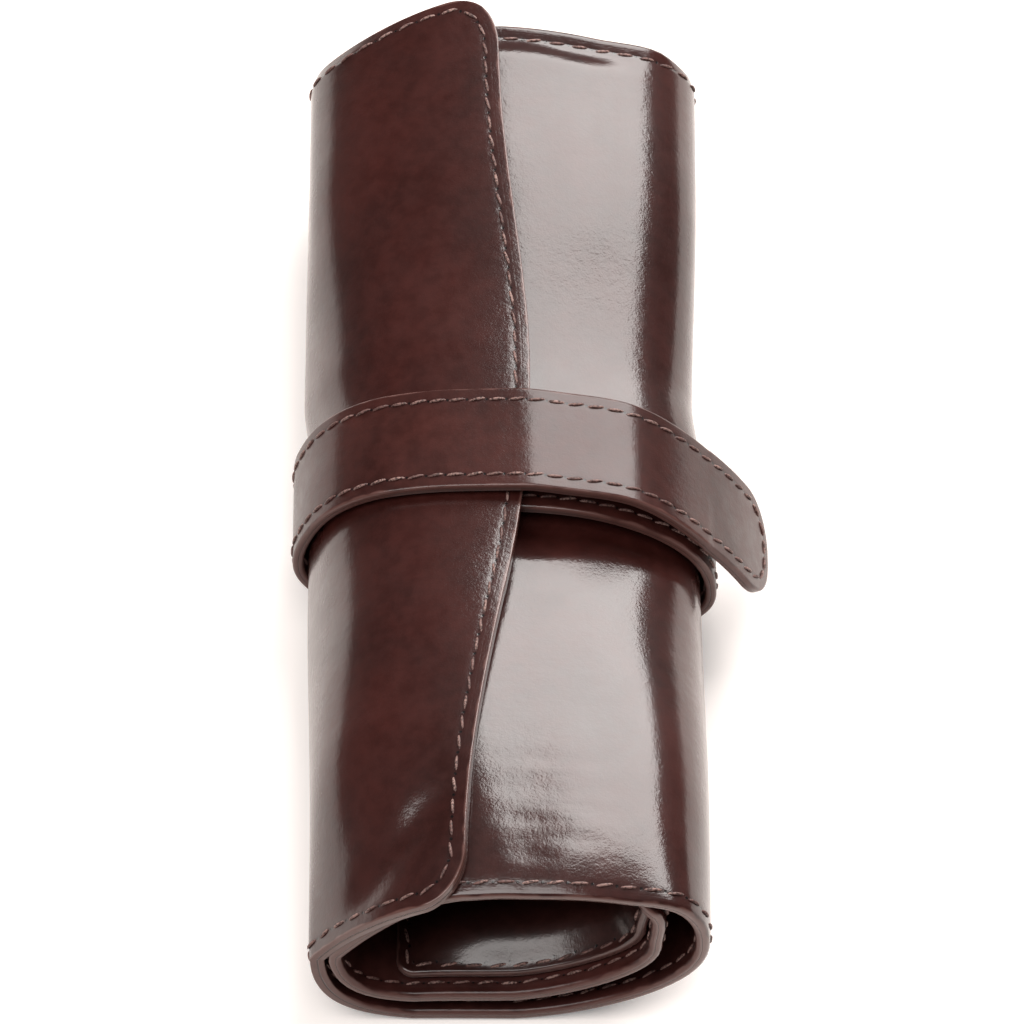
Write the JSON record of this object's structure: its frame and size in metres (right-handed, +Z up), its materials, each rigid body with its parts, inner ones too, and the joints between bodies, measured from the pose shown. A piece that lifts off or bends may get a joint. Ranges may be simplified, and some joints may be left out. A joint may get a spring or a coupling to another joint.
{
  "type": "pen roll",
  "caption": "Leather pen roll, rolled up with a stitched flap on top and a strap wound round its middle, with a pocket panel inside for pens.",
  "frame": {"origin": "on the table plane, on the underside of the strap below the middle of the roll", "axes": "+Y along the roll from the open end in the picture to the far end, +X to the side where the strap's tail stands off, +Z up"},
  "size_m": [0.0805, 0.1839, 0.044],
  "materials": {
    "outer_leather": "glossy dark oxblood-brown, smooth grain, burnished edges",
    "lining_leather": "smooth dark brown, satin",
    "strap_leather": "glossy dark oxblood-brown, smooth grain, burnished edges",
    "pocket_leather": "thin smooth dark brown leather, glossy",
    "thread": "waxed thread, tone on tone"
  },
  "bodies": {
    "roll": {"body_outer_ply": "outer_leather", "body_lining_ply": "lining_leather", "pocket_panel": "pocket_leather", "pen_guard": "pocket_leather", "strap_wound_face_ply": "strap_leather", "strap_wound_back_ply": "lining_leather"},
    "flap": {"flap_outer_ply": "outer_leather", "flap_lining_ply": "lining_leather"},
    "strap_front": {"strap_front_face_ply": "strap_leather", "strap_front_back_ply": "lining_leather"},
    "strap_tail": {"strap_tail_face_ply": "strap_leather", "strap_tail_back_ply": "lining_leather"}
  },
  "joints": [
    {"name": "flap_open", "type": "hinge", "parent": "roll", "child": "flap", "pos_m": [-0.03432, 0, 0.02237], "axis": [0, -1, 0], "range_deg": [0, 90]},
    {"name": "strap_open", "type": "hinge", "parent": "roll", "child": "strap_front", "pos_m": [-0.03562, 0, 0.01588], "axis": [0, -1, 0], "range_deg": [0, 135]},
    {"name": "tail_bend", "type": "hinge", "parent": "strap_front", "child": "strap_tail", "pos_m": [0.03466, -0.00271, 0.02915], "axis": [0, -1, 0], "range_deg": [-6, 70], "stiffness_Nm_per_rad": 0.01}
  ],
  "couplings": [
    {"joint": "strap_open", "follows": "flap_open", "ratio": 1.5}
  ]
}
